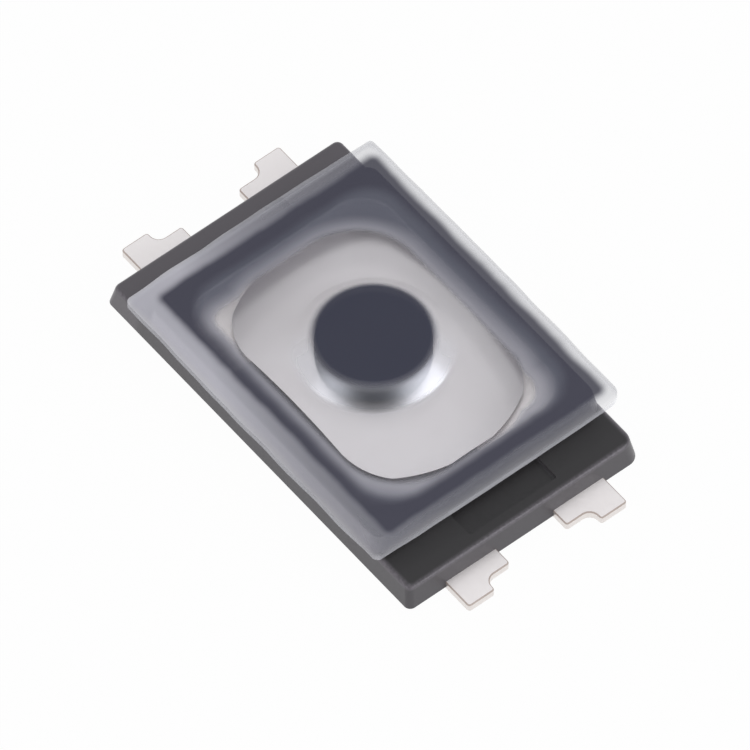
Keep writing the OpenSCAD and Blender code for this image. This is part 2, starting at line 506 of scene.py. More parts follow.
def outerContactMesh():
    padIn, padOut = contacts["padX"]
    padLow, padHigh = contacts["padY"]
    neckLow, neckHigh = contacts["neckInner"], contacts["neckOuter"]
    shoulder, tip, tipLow = contacts["shoulderX"], contacts["tipX"], contacts["tipInner"]
    points = [
        (padIn, padLow),
        (padOut, padLow),
        (padOut, neckLow),
        (shoulder, neckLow),
        (shoulder, tipLow),
        (tip, tipLow),
        (tip, neckHigh),
        (padOut, neckHigh),
        (padOut, padHigh),
        (padIn, padHigh),
    ]
    corner, fillet = contacts["cornerRadius"], contacts["filletRadius"]
    bm = outlineMesh(points, 0, {3: corner, 4: fillet, 5: corner, 6: corner})
    extrudeUp(bm, contacts["sheet"])
    bevelEdges(bm, levelEdges(bm, contacts["sheet"]), contacts["edgeRoll"])
    bendSheet(bm, contacts["outerLift"])
    bmesh.ops.recalc_face_normals(bm, faces=bm.faces[:])
    return bm


def makeOuterContact(name, turn):
    bm = outerContactMesh()
    turned = Matrix.Rotation(turn, 3, "Z")
    bmesh.ops.rotate(bm, verts=bm.verts[:], cent=(0, 0, 0), matrix=turned)
    markCutFaces(bm)
    return meshObject(bm, name)


def discTool(name, radius, low, high):
    bm = bmesh.new()
    bmesh.ops.create_cone(
        bm,
        cap_ends=True,
        segments=meshLook["discSegments"],
        radius1=radius,
        radius2=radius,
        depth=high - low,
    )
    bmesh.ops.translate(bm, verts=bm.verts[:], vec=(0, 0, (low + high) / 2))
    return meshObject(bm, name)


def centreStripMesh():
    stripLow, stripHigh = contacts["stripY"]
    half = contacts["stripHalf"]
    neckLow, neckHigh = contacts["neckInner"], contacts["neckOuter"]
    shoulder, tip, tipLow = contacts["shoulderX"], contacts["tipX"], contacts["tipInner"]
    start = contacts["bendX"][0]
    points = [
        (half, 0),
        (-half, 0),
        (-half, -stripHigh),
        (start, -stripHigh),
        (start, -neckHigh),
        (tip, -neckHigh),
        (tip, -tipLow),
        (shoulder, -tipLow),
        (shoulder, -neckLow),
        (start, -neckLow),
        (start, -stripLow),
        (half, -stripLow),
    ]
    corner, fillet = contacts["cornerRadius"], contacts["filletRadius"]
    bm = outlineMesh(points, 0, {5: corner, 6: corner, 7: fillet, 8: corner})
    other = bmesh.ops.duplicate(bm, geom=bm.verts[:] + bm.edges[:] + bm.faces[:])["geom"]
    turned = [part for part in other if isinstance(part, bmesh.types.BMVert)]
    about = Matrix.Rotation(halfTurn, 3, "Z")
    bmesh.ops.rotate(bm, verts=turned, cent=(0, 0, 0), matrix=about)
    bmesh.ops.remove_doubles(bm, verts=bm.verts[:], dist=mergeDistance)
    flat = contacts["flatAngle"]
    bmesh.ops.dissolve_limit(bm, angle_limit=flat, verts=bm.verts[:], edges=bm.edges[:])
    extrudeUp(bm, contacts["sheet"])
    bevelEdges(bm, levelEdges(bm, contacts["sheet"]), contacts["edgeRoll"])
    bendSheet(bm, contacts["centreLift"])
    bmesh.ops.recalc_face_normals(bm, faces=bm.faces[:])
    return bm


def makeCentreContact(name):
    piece = meshObject(centreStripMesh(), name)
    rise, overlap = contacts["bumpHeight"], contacts["discOverlap"]
    low, high = contacts["centreLift"], contacts["centreLift"] + contacts["sheet"]
    combine(piece, discTool("padDisc", contacts["discRadius"], low, high), "UNION")
    bump = discTool("bumpDisc", contacts["bumpRadius"], high - overlap, high + rise)
    combine(piece, bump, "UNION")
    hollow = discTool("bumpHollow", contacts["hollowRadius"], belowAll, low + rise)
    combine(piece, hollow, "DIFFERENCE")
    bm = bmesh.new()
    bm.from_mesh(piece.data)
    markCutFaces(bm)
    bm.to_mesh(piece.data)
    bm.free()
    return piece


firstContact = makeOuterContact("firstOuterContact", 0)
secondContact = makeOuterContact("secondOuterContact", halfTurn)
centreContact = makeCentreContact("centreContactSheet")
print("contacts formed")


# Moulded base

base = {
    "length": 2.60,
    "width": 1.60,
    "lift": 0.015,
    "ledgeHeight": 0.165,
    "rimHeight": 0.280,
    "endLean": 0.03,
    "flankLean": 0.04,
    "rimFootLength": 2.02,
    "overlap": 0.03,
    "ledgeBevel": 0.022,
    "rimBevel": 0.010,
    "cornerRadius": 0.04,
    "markRadius": 0.08,
    "rimCornerRadius": 0.08,
    "cavity": (1.72, 1.31),
    "cavityRadius": 0.20,
    "floorHeight": 0.115,
    "cavityFlare": 0.012,
    "recessWidth": 0.60,
    "recessDepth": 0.03,
    "recessRound": 0.014,
    "recessMargin": {1: 0.05, -1: 0.085},
    "wellRadius": 0.21,
    "wellFloor": 0.065,
    "pinHole": (0.65, 0.3975, 0.12),  # x, y and radius
    "recessTuck": 0.01,  # how far the recess starts under the rim
    "wellTop": 0.2,
    "toolOverrun": 0.01,
    "ledgeSteps": (10, 4),  # round the upright corners and over the top edge
    "rimSteps": (8, 3),
    "cavitySteps": 12,
    "recessSteps": 4,
    "smoothAngle": 32,
    "seatClearance": 0.001,  # over and under each contact, so that no skin is left on it
    "seatFace": 0.9,  # upright part of the normal, above which a face is moved
}


# Tone of the moulding: its own dark colour on top, a painted sheen up its sides, rubbed edges
# with a painted highlight, painted light on the -X ledge and painted light in the cavity under the
# bonding layer
baseLook = {
    "speckle": (0.018, 0.3),
    "flat": ((0.012, 0.010, 0.011, 1), (0.016, 0.014, 0.015, 1)),
    # paler colour of the upright walls: a painted sheen standing in for the floor they reflect
    "drawn": ((0.078, 0.073, 0.080, 1), (0.096, 0.090, 0.098, 1)),
    "uprightSpan": (0.35, 0.85),  # upright part of the normal, from the painted wall sheen to flat
    "roughness": (0.30, 0.38),
    "specular": 0.5,
    "bump": 0.0001,
    "outline": {"Half length": 1.275, "Half width": 0.775, "Corner radius": 0.05},
    # rubbed edges: partly wear, partly a painted highlight along the ledge bevels
    "wearAndHighlightReach": (-0.035, 0.005),
    "wearAndHighlightShare": (0.6, 1.0),
    "wearAndHighlightHeight": (0.135, 0.155),
    # painted light on the -X ledge, growing towards its end
    "paintedLedgeLightEnd": (-1.08, -1.00),
    "paintedLedgeLightShare": 0.48,
    # colour of the worn edges with their painted highlight, and of the painted light on the -X ledge
    "wearAndHighlightColour": (0.19, 0.172, 0.195, 1),
    "cavity": {"Half length": 0.86, "Half width": 0.655, "Corner radius": 0.20},
    "cavityReach": (0.004, 0.012),
    "cavityHeight": (0.03, 0.05),
    # pale colour in the cavity: painted light where the black resin lies in shade under the film
    "cavityPaintedLight": (0.34, 0.33, 0.36, 1),
}


def addUpright(nodes, links):
    facing = nodes.new("ShaderNodeNewGeometry")
    parts = nodes.new("ShaderNodeSeparateXYZ")
    links.new(facing.outputs["Normal"], parts.inputs[0])
    level = addMath(nodes, links, "ABSOLUTE", parts.outputs["Z"])
    return addRange(nodes, links, level, *baseLook["uprightSpan"], 1.0, 0.0)


# Lighter along the outer top edges, partly wear and partly a painted highlight, joined by the painted
# light on the -X ledge
def addWearAndHighlight(nodes, links, fine, place):
    outline = addGroup(nodes, roundRectGroup, **baseLook["outline"]).outputs[0]
    wearAndHighlight = addRange(nodes, links, outline, *baseLook["wearAndHighlightReach"], 0.0, 1.0)
    patchy = addSpread(nodes, links, fine, *baseLook["wearAndHighlightShare"])
    wearAndHighlight = addMath(nodes, links, "MULTIPLY", wearAndHighlight, patchy)
    height = addMillimetres(nodes, links, place["Z"])
    nearTop = addRange(nodes, links, height, *baseLook["wearAndHighlightHeight"], 0.0, 1.0)
    wearAndHighlight = addMath(nodes, links, "MULTIPLY", wearAndHighlight, nearTop)
    along = addMillimetres(nodes, links, place["X"])
    # painted light on the -X ledge
    paintedLedgeLight = addRange(nodes, links, along, *baseLook["paintedLedgeLightEnd"], baseLook["paintedLedgeLightShare"], 0.0)
    return addMath(nodes, links, "MAXIMUM", wearAndHighlight, paintedLedgeLight)


# mask of the cavity surfaces that carry the painted light
def addInCavity(nodes, links, place):
    wall = addGroup(nodes, roundRectGroup, **baseLook["cavity"]).outputs[0]
    within = addRange(nodes, links, wall, *baseLook["cavityReach"], 1.0, 0.0)
    height = addMillimetres(nodes, links, place["Z"])
    above = addRange(nodes, links, height, *baseLook["cavityHeight"], 0.0, 1.0)
    return addMath(nodes, links, "MULTIPLY", within, above)


def makeBaseResin():
    material, nodes, links, shader = newMaterial("blackMouldedResin")
    speckle = addSpeckle(nodes, *baseLook["speckle"])
    fine, broad = speckle.outputs["Fine"], speckle.outputs["Broad"]
    place = addPlace(nodes, links)
    flat = addMix(nodes, links, broad, *baseLook["flat"])
    # painted sheen on the upright walls, mixed in by how upright each face is
    drawn = addMix(nodes, links, broad, *baseLook["drawn"])
    colour = addMix(nodes, links, addUpright(nodes, links), flat, drawn)
    wearAndHighlight = addWearAndHighlight(nodes, links, fine, place)
    colour = addMix(nodes, links, wearAndHighlight, colour, baseLook["wearAndHighlightColour"])
    inCavity = addInCavity(nodes, links, place)
    colour = addMix(nodes, links, inCavity, colour, baseLook["cavityPaintedLight"])
    links.new(colour, shader.inputs["Base Color"])
    grain = addSpread(nodes, links, fine, *baseLook["roughness"])
    links.new(grain, shader.inputs["Roughness"])
    shader.inputs["Specular IOR Level"].default_value = baseLook["specular"]
    addBump(nodes, links, shader, fine, baseLook["bump"])
    return material


def flankWidth(height):
    rise = (height - base["lift"]) / (base["rimHeight"] - base["lift"])
    return base["width"] - 2 * base["flankLean"] * rise


def allCorners(radius):
    return {corner: radius for corner in range(4)}


def makeLedgeBlock(name):
    low, high = base["lift"], base["ledgeHeight"]
    length, width = base["length"], base["width"]
    radii = {**allCorners(base["cornerRadius"]), 2: base["markRadius"]}
    aroundSteps, overSteps = base["ledgeSteps"]
    bm = outlineMesh(rectPoints(length, width), low, radii, aroundSteps)
    extrudeUp(bm, high - low, (length - 2 * base["endLean"]) / length, flankWidth(high) / width)
    bevelEdges(bm, levelEdges(bm, high), base["ledgeBevel"], overSteps)
    return meshObject(bm, name)


def makeRimBlock(name):
    low, high = base["ledgeHeight"] - base["overlap"], base["rimHeight"]
    length, width = base["rimFootLength"], flankWidth(low)
    aroundSteps, overSteps = base["rimSteps"]
    radii = allCorners(base["rimCornerRadius"])
    bm = outlineMesh(rectPoints(length, width), low, radii, aroundSteps)
    extrudeUp(bm, high - low, (length - 2 * base["endLean"]) / length, flankWidth(high) / width)
    bevelEdges(bm, levelEdges(bm, high), base["rimBevel"], overSteps)
    return meshObject(bm, name)


def makeCavityTool(name):
    length, width = base["cavity"]
    flare = base["cavityFlare"]
    low, high = base["floorHeight"], base["rimHeight"] - flare
    radii = allCorners(base["cavityRadius"])
    bm = outlineMesh(rectPoints(length, width), low, radii, base["cavitySteps"])
    extrudeUp(bm, high - low)
    top = [face for face in bm.faces if face.calc_center_median().z > high - mergeDistance]
    flared = bmesh.ops.extrude_face_region(bm, geom=top)["geom"]
    verts = [part for part in flared if isinstance(part, bmesh.types.BMVert)]
    bmesh.ops.delete(bm, geom=top, context="FACES_ONLY")
    bmesh.ops.translate(bm, verts=verts, vec=(0, 0, flare * 2))
    wider = (1 + 4 * flare / length, 1 + 4 * flare / width, 1)
    bmesh.ops.scale(bm, verts=verts, vec=wider)
    bmesh.ops.recalc_face_normals(bm, faces=bm.faces[:])
    return meshObject(bm, name)


def makeRecessTool(name, side):
    inner = base["rimFootLength"] / 2 - base["recessTuck"]
    outer = base["length"] / 2 - base["endLean"] - base["ledgeBevel"] - base["recessMargin"][side]
    bm = bmesh.new()
    bmesh.ops.create_cube(bm, size=1)
    size = (outer - inner, base["recessWidth"], base["recessDepth"] * 2)
    bmesh.ops.scale(bm, verts=bm.verts[:], vec=size)
    bevelEdges(bm, bm.edges[:], base["recessRound"], base["recessSteps"])
    middle = (side * (inner + outer) / 2, 0, base["ledgeHeight"])
    bmesh.ops.translate(bm, verts=bm.verts[:], vec=middle)
    return meshObject(bm, name)


def openSeat(mesh, clearance):
    shifts = {}
    for polygon in mesh.polygons:
        if abs(polygon.normal.z) > base["seatFace"]:
            shift = math.copysign(clearance, polygon.normal.z)
            shifts.update((index, shift) for index in polygon.vertices)
    for index, shift in shifts.items():
        mesh.vertices[index].co.z += shift


def makeBase(name, seated):
    piece = makeLedgeBlock(name)
    combine(piece, makeRimBlock("rimBlock"), "UNION")
    combine(piece, makeCavityTool("cavityTool"), "DIFFERENCE")
    for side in (-1, 1):
        combine(piece, makeRecessTool("recessTool", side), "DIFFERENCE")
    overrun = base["toolOverrun"]
    well = discTool("wellTool", base["wellRadius"], base["wellFloor"], base["wellTop"])
    combine(piece, well, "DIFFERENCE")
    top = base["wellFloor"] + overrun
    hollow = discTool("hollowTool", contacts["hollowRadius"], belowAll, top)
    combine(piece, hollow, "DIFFERENCE")
    pinX, pinY, pinRadius = base["pinHole"]
    for side in (-1, 1):
        tool = discTool("pinTool", pinRadius, belowAll, contacts["outerLift"] + overrun)
        tool.data.transform(Matrix.Translation((side * pinX, side * pinY, 0)))
        combine(piece, tool, "DIFFERENCE")
    for source in seated:
        tool = source.copy()
        tool.data = source.data.copy()
        openSeat(tool.data, base["seatClearance"])
        scene.collection.objects.link(tool)
        combine(piece, tool, "DIFFERENCE")
    return piece


moulding = makeBase("mouldedBase", [firstContact, secondContact, centreContact])
resins = [makeBaseResin()]
finishPiece(moulding, base["smoothAngle"], resins, "switch_body", ["housing"])
for piece, node in (
    (firstContact, "first_outer_contact"),
    (secondContact, "second_outer_contact"),
    (centreContact, "centre_contact"),
):
    angle = contacts["smoothAngle"]
    finishPiece(piece, angle, contactMetals, "switch_body", [node])


# Snap dome

dome = {
    "length": 1.60,
    "width": 1.14,
    "arcRadius": 0.812,
    "cornerRadius": 0.42,
    "cornerSteps": 14,
    "shift": (-0.045, 0.065),  # within its play
    "floor": 0.115,
    "rise": 0.12,
    "thickness": 0.03,
    "rings": 48,
    "steps": 192,
    "smoothAngle": 40,
}

domeLook = {
    "speckle": (0.04, 0.45),
    "mottle": "Broad",
    "colours": ((0.58, 0.542, 0.545, 1), (0.685, 0.658, 0.666, 1)),
    "metallic": 0.85,
    "specular": 0.5,
    "roughness": (0.285, 0.315),
    "grain": "Broad",
    "bump": 0.0004,
}


def domeHeight(radius):
    sphere = (dome["arcRadius"] ** 2 + dome["rise"] ** 2) / (2 * dome["rise"])
    return dome["floor"] + dome["rise"] - sphere + math.sqrt(sphere**2 - radius**2)


def makeDome(name):
    bm = spinSheet(domeHeight, dome["arcRadius"], dome["rings"], dome["steps"])
    radii = {(x, y): dome["cornerRadius"] for x in (-1, 1) for y in (-1, 1)}
    trimTo(bm, dome["length"] / 2, dome["width"] / 2, radii, dome["cornerSteps"])
    bmesh.ops.translate(bm, verts=bm.verts[:], vec=(*dome["shift"], 0))
    piece = meshObject(bm, name)
    thicken(piece, dome["thickness"])
    return piece


domeSheet = makeDome("snapDome")
domeMetals = [makeFinish("satinDomeSheet", domeLook)]
finishPiece(domeSheet, dome["smoothAngle"], domeMetals, None, ["dome"])
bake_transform(domeSheet)
print("dome formed")


# Push plate

plate = {
    "radius": 0.32,
    "bottom": 0.268,
    "top": 0.398,
    "edgeRadius": 0.03,
    "edgeSteps": 6,
    "steps": 128,
    "smoothAngle": 40,
}

plateLook = {
    "speckle": (0.02, 0.2),
    "mottle": "Broad",
    "colours": ((0.011, 0.013, 0.028, 1), (0.014, 0.017, 0.034, 1)),
    "metallic": 0.0,
    "specular": 0.2,
    "roughness": (0.45, 0.6),
    "grain": "Fine",
    "bump": 0.0001,
}


def makePlate(name):
    radius, edge, steps = plate["radius"], plate["edgeRadius"], plate["edgeSteps"]
    places = [(0, plate["bottom"]), (radius, plate["bottom"])]
    for step in range(steps + 1):
        angle = quarterTurn * step / steps
        out, rise = edge * math.cos(angle), edge * math.sin(angle)
        places.append((radius - edge + out, plate["top"] - edge + rise))
    places.append((0, plate["top"]))
    return meshObject(spinProfile(places, plate["steps"]), name)


pushPlate = makePlate("roundPushPlate")
plateResins = [makeFinish("darkPlateResin", plateLook)]
finishPiece(pushPlate, plate["smoothAngle"], plateResins, "button", ["push_plate"])
print("push plate placed")


# Cover film

film = {
    "length": 2.18,
    "width": 1.72,
    "lift": 0.002,  # of the bonding layer over the rim
    "rimHeight": 0.280,
    "thickness": 0.04,
    "capRadius": 0.313,
    "capHeight": 0.401,
    "slope": 0.15,
    "ease": 0.16,  # share of the slope that is rounded at each end
    "rings": 110,
    "steps": 216,
    "outerRadius": 1.45,
    "cornerRadii": {(-1, -1): 0.04, (1, -1): 0.04, (-1, 1): 0.04, (1, 1): 0.09},
    "cornerSteps": 6,
    "insets": (0.012, 0.025, 0.04, 0.06, 0.09),
    "droop": 0.014,
    "droopBand": 0.06,
    "bow": 0.010,
    "edgeWave": 0.004,
    "edgeWobble": 0.006,
    "waveLength": 0.22,
    "edgeBand": 0.14,
    "wobbleSeeds": ((7, 0, 3), (0, 5, 9)),  # places in the noise for X and Y
    "upperFace": 0.3,  # upright part of the normal, above which a face is the upper one
    "smoothAngle": 50,
}


def filmHeight(radius):
    ease = film["ease"]
    low = film["rimHeight"] + film["lift"]
    along = min(max((radius - film["capRadius"]) / film["slope"], 0), 1)
    near, steep = min(along, 1 - along), 1 / (1 - ease)
    part = steep * (near - ease / 2) if near > ease else steep * near**2 / (2 * ease)
    fall = part if along < 0.5 else 1 - part
    return film["capHeight"] + (low - film["capHeight"]) * fall


def waveEdge(vert):
    halfLength, halfWidth = film["length"] / 2, film["width"] / 2
    x, y, z = vert.co
    insetX, insetY = halfLength - abs(x), halfWidth - abs(y)
    inset = min(insetX, insetY)
    if inset > film["edgeBand"]:
        return
    near = (1 - inset / film["edgeBand"]) ** 2
    nearX = max(1 - insetX / film["edgeBand"], 0) ** 2
    nearY = max(1 - insetY / film["edgeBand"], 0) ** 2
    place = Vector((x, y, 0)) / film["waveLength"]
    hang = max(1 - inset / film["droopBand"], 0) ** 2
    vert.co.z += film["edgeWave"] * near * noise.noise(place) - film["droop"] * hang
    wobbleX, wobbleY = (
        film["edgeWobble"] * (noise.noise(place + Vector(seed)) - 0.5)
        for seed in film["wobbleSeeds"]
    )
    bowX = film["bow"] * (y / halfWidth) ** 2
    bowY = film["bow"] * (x / halfLength) ** 2
    vert.co.x += math.copysign(1, x) * nearX * (wobbleX - bowX)
    vert.co.y += math.copysign(1, y) * nearY * (wobbleY - bowY)


def makeFilmSheet(name):
    bm = spinSheet(filmHeight, film["outerRadius"], film["rings"], film["steps"])
    halfLength, halfWidth = film["length"] / 2, film["width"] / 2
    trimTo(bm, halfLength, halfWidth, film["cornerRadii"], film["cornerSteps"])
    for inset in film["insets"]:
        for side in (-1, 1):
            cutAt(bm, (side * (halfLength - inset), 0, 0), (side, 0, 0), False)
            cutAt(bm, (0, side * (halfWidth - inset), 0), (0, side, 0), False)
    for vert in bm.verts:
        waveEdge(vert)
    extrudeUp(bm, film["thickness"])
    for face in bm.faces:
        face.material_index = 0 if face.normal.z > film["upperFace"] else 1
    return meshObject(bm, name)


# Haze of the bonding layer and of the free edges, in zones across the clear sheet, with a painted glow
# in the band and painted side light on the free edges

filmLook = {
    "speckle": (0.03, 0.32),
    "roughness": (0.18, 0.24),
    "specular": 0.42,
    "bump": 0.0004,
    "mirror": 0.036,
    "glancePower": 5.0,
    "glanceShare": 0.45,
    "glossColours": ((0.90, 0.92, 1.0, 1), (0.95, 0.96, 1.0, 1)),
    # The bent slope round the cap, which shines more than the flat sheet
    "formedRadius": 0.335,
    "formedStart": (-0.01, 0.02),
    "formedEnd": (0.085, 0.135),
    "formedSheen": 7.5,
    "formedRoughness": 0.14,
    "pulledTowards": (780.0, -626.0, 0.0),  # per metre, the side where it is drawn tight
    "pulledFrom": (-0.12, 0.14),
    # Haze of each zone
    "capHaze": 0.98,
    "clearHaze": 0.03,
    "bandHaze": 0.88,
    "ringHaze": 0.96,
    "freeHaze": 0.33,
    "sideLightHaze": 0.24,
    "edgeHaze": 0.26,
    # Colour of each zone
    "capColour": (0.021, 0.023, 0.050, 1),
    # the band beside the opening carries a painted glow, pale near the dome
    "bandGlowNearDome": (0.375, 0.37, 0.42, 1),
    "bandFar": (0.105, 0.110, 0.150, 1),
    "bandGlowFade": 0.13,  # distance over which the painted glow in the band fades towards the rim
    "bandGlowTilt": -25.0,  # mm per metre, so that the painted glow in the band reaches further out towards +X
    "ringColour": (0.043, 0.042, 0.070, 1),
    "freeDim": (0.25, 0.255, 0.31, 1),
    # paler colours of the free strips and cut edge: painted side light towards -X and -Y
    "freeSideLit": (0.80, 0.79, 0.88, 1),
    "edgeDim": (0.52, 0.52, 0.56, 1),
    "edgeSideLit": (0.96, 0.95, 1.0, 1),
    "sideLightX": -230.0,  # how fast the painted side light on the free strips grows towards -X and -Y, per metre
    "sideLightY": -520.0,
    "sideLightMiddle": 0.5,
    "sideLightPower": 3.0,
    "passOn": 0.75,  # share of the haze that lets light on to what is under it
}

# Middle X and Y, half length, half width and corner radius
filmZones = {
    "cap": (0.0, 0.0, 0.338, 0.338, 0.338),
    "opening": (0.067, -0.018, 0.803, 0.565, 0.38),
    "nearPad": (-0.545, -0.425, 0.155, 0.14, 0.08),
    "farPad": (0.595, 0.365, 0.225, 0.155, 0.14),
    "rimInside": (0.013, 0.035, 0.880, 0.667, 0.22),
    "rimOutside": (0.014, 0.040, 1.001, 0.757, 0.05),
    "cutEdge": (0.0, 0.0, 1.066, 0.836, 0.04),
}
zoneSoftness = {"cap": 0.034, "rimInside": 0.045, "rimOutside": 0.034, "cutEdge": 0.022}
openingSpan = (-0.02, 0.03)
zoneWander = 0.006

filmBackLook = {
    "speckle": (0.03, 0.14),
    "colours": ((0.78, 0.78, 0.84, 1), (0.86, 0.86, 0.92, 1)),
    "haze": 0.02,
    "edgeHaze": 0.28,
    "edgeSoftness": 0.016,
    "roughness": 0.45,
}


def addDistance(nodes, key):
    names = ("Middle X", "Middle Y", "Half length", "Half width", "Corner radius")
    return addGroup(nodes, roundRectGroup, **dict(zip(names, filmZones[key]))).outputs[0]


def addZone(nodes, links, key, wander, softness):
    distance = addMath(nodes, links, "ADD", addDistance(nodes, key), wander)
    return addRange(nodes, links, distance, -softness, softness, 0.0, 1.0)


# Painted side light: the free strips grow paler and hazier towards -X and -Y, where more light falls
def addPaintedSideLight(nodes, links):
    place = addPlace(nodes, links)
    alongX = addMath(nodes, links, "MULTIPLY", place["X"], filmLook["sideLightX"])
    alongY = addMath(nodes, links, "MULTIPLY", place["Y"], filmLook["sideLightY"])
    both = addMath(nodes, links, "ADD", alongX, alongY)
    side = addMath(nodes, links, "ADD", both, filmLook["sideLightMiddle"])
    side = addMath(nodes, links, "MAXIMUM", side, 0.0)
    side = addMath(nodes, links, "MINIMUM", side, 1.0)
    return addMath(nodes, links, "POWER", side, filmLook["sideLightPower"])


def addPulledSide(nodes, links):
    place = nodes.new("ShaderNodeTexCoord")
    along = nodes.new("ShaderNodeVectorMath")
    along.operation = "DOT_PRODUCT"
    links.new(place.outputs["Object"], along.inputs[0])
    along.inputs[1].default_value = filmLook["pulledTowards"]
    return addRange(nodes, links, along.outputs["Value"], *filmLook["pulledFrom"], 0.0, 1.0)


def addPassOn(nodes, links):
    rays = nodes.new("ShaderNodeLightPath")
    onward = rays.outputs["Is Shadow Ray"]
    for kind in ("Is Glossy Ray", "Is Diffuse Ray"):
        onward = addMath(nodes, links, "MAXIMUM", onward, rays.outputs[kind])
    onward = addMath(nodes, links, "MULTIPLY", onward, -filmLook["passOn"])
    return addMath(nodes, links, "ADD", onward, 1.0)


def addMirror(nodes, links, formed):
    facing = nodes.new("ShaderNodeLayerWeight")
    facing.inputs["Blend"].default_value = 0.5
    glance = addMath(nodes, links, "POWER", facing.outputs["Facing"], filmLook["glancePower"])
    glance = addMath(nodes, links, "MULTIPLY", glance, filmLook["glanceShare"])
    extra = (filmLook["formedSheen"] - 1.0) * filmLook["mirror"]
    sheen = addMath(nodes, links, "MULTIPLY", formed, extra)
    mirror = addMath(nodes, links, "ADD", sheen, filmLook["mirror"])
    return addMath(nodes, links, "ADD", mirror, glance)


def addFilmMasks(nodes, links, broad):
    wander = addSpread(nodes, links, broad, -zoneWander, zoneWander)
    away = addDistance(nodes, "opening")
    for pad in ("nearPad", "farPad"):
        away = addMath(nodes, links, "MINIMUM", away, addDistance(nodes, pad))
    masks = {"opening": addRange(nodes, links, away, *openingSpan, 0.0, 1.0)}
    for key, softness in zoneSoftness.items():
        offset = 0.0 if key == "cap" else wander
        masks[key] = addZone(nodes, links, key, offset, softness)
    return masks, away


def addHaze(nodes, links, masks, paintedSideLight):
    look = filmLook
    haze = look["capHaze"]
    for key, before, after in (
        ("cap", "capHaze", "clearHaze"),
        ("opening", "clearHaze", "bandHaze"),
        ("rimInside", "bandHaze", "ringHaze"),
        ("rimOutside", "ringHaze", "freeHaze"),
        ("cutEdge", "freeHaze", "edgeHaze"),
    ):
        change = addMath(nodes, links, "MULTIPLY", masks[key], look[after] - look[before])
        haze = addMath(nodes, links, "ADD", change, haze)
    # more haze where the painted side light lies
    more = addMath(nodes, links, "MULTIPLY", paintedSideLight, look["sideLightHaze"])
    more = addMath(nodes, links, "MULTIPLY", more, masks["rimOutside"])
    return addMath(nodes, links, "ADD", haze, more)


def addFormedSlope(nodes, links):
    size = filmLook["formedRadius"]
    sizes = {"Half length": size, "Half width": size, "Corner radius": size}
    pastFold = addGroup(nodes, roundRectGroup, **sizes).outputs[0]
    inner = addRange(nodes, links, pastFold, *filmLook["formedStart"], 0.0, 1.0)
    outer = addRange(nodes, links, pastFold, *filmLook["formedEnd"], 1.0, 0.0)
    formed = addMath(nodes, links, "MULTIPLY", inner, outer)
    return addMath(nodes, links, "MULTIPLY", formed, addPulledSide(nodes, links))


def addHazeColour(nodes, links, masks, away, paintedSideLight):
    look = filmLook
    free = addMix(nodes, links, paintedSideLight, look["freeDim"], look["freeSideLit"])
    edge = addMix(nodes, links, paintedSideLight, look["edgeDim"], look["edgeSideLit"])
    # painted glow in the band: pale near the opening, darker towards the rim, reaching further towards
    # +X
    tilt = addMath(nodes, links, "MULTIPLY", addPlace(nodes, links)["X"], look["bandGlowTilt"])
    tilted = addMath(nodes, links, "ADD", away, tilt)
    fading = addRange(nodes, links, tilted, 0.0, look["bandGlowFade"], 0.0, 1.0)
    band = addMix(nodes, links, fading, look["bandGlowNearDome"], look["bandFar"])
    colour = addMix(nodes, links, masks["cap"], look["capColour"], band)
    colour = addMix(nodes, links, masks["rimInside"], colour, look["ringColour"])
    colour = addMix(nodes, links, masks["rimOutside"], colour, free)
    return addMix(nodes, links, masks["cutEdge"], colour, edge)


def makeFilmFace():
    material, nodes, links, shader = newMaterial("clearFilmFace")
    broad = addSpeckle(nodes, *filmLook["speckle"]).outputs["Broad"]
    masks, away = addFilmMasks(nodes, links, broad)
    paintedSideLight = addPaintedSideLight(nodes, links)
    haze = addHaze(nodes, links, masks, paintedSideLight)
    formed = addFormedSlope(nodes, links)

    # gloss fills what the haze leaves, and the haze keeps its own colour
    clear = addMath(nodes, links, "SUBTRACT", 1.0, haze)
    gloss = addMath(nodes, links, "MULTIPLY", addMirror(nodes, links, formed), clear)
    cover = addMath(nodes, links, "ADD", haze, gloss)
    share = addMath(nodes, links, "DIVIDE", gloss, cover)
    links.new(share, shader.inputs["Metallic"])
    onward = addPassOn(nodes, links)
    links.new(addMath(nodes, links, "MULTIPLY", cover, onward), shader.inputs["Alpha"])
    colour = addHazeColour(nodes, links, masks, away, paintedSideLight)
    pale = addMix(nodes, links, broad, *filmLook["glossColours"])
    links.new(addMix(nodes, links, share, colour, pale), shader.inputs["Base Color"])
    smooth = addSpread(nodes, links, broad, *filmLook["roughness"])
    rougher = addMath(nodes, links, "MULTIPLY", formed, filmLook["formedRoughness"])
    links.new(addMath(nodes, links, "ADD", smooth, rougher), shader.inputs["Roughness"])
    shader.inputs["Specular IOR Level"].default_value = filmLook["specular"]
    addBump(nodes, links, shader, broad, filmLook["bump"])
    material.surface_render_method = "BLENDED"
    return material


def makeFilmBack():
    material, nodes, links, shader = newMaterial("filmBackAndSides")
    look = filmBackLook
    broad = addSpeckle(nodes, *look["speckle"]).outputs["Broad"]
    links.new(addMix(nodes, links, broad, *look["colours"]), shader.inputs["Base Color"])
    pastEdge = addZone(nodes, links, "cutEdge", 0.0, look["edgeSoftness"])
    more = addMath(nodes, links, "MULTIPLY", pastEdge, look["edgeHaze"])
    haze = addMath(nodes, links, "ADD", more, look["haze"])
    onward = addPassOn(nodes, links)
    links.new(addMath(nodes, links, "MULTIPLY", haze, onward), shader.inputs["Alpha"])
    shader.inputs["Roughness"].default_value = look["roughness"]
    material.surface_render_method = "BLENDED"
    return material


filmSheet = makeFilmSheet("clearCoverFilm")
filmSkins = [makeFilmFace(), makeFilmBack()]
finishPiece(filmSheet, film["smoothAngle"], filmSkins, None, ["cover_film"])
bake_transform(filmSheet)
print("film laid")


# Floor, lamps and surroundings

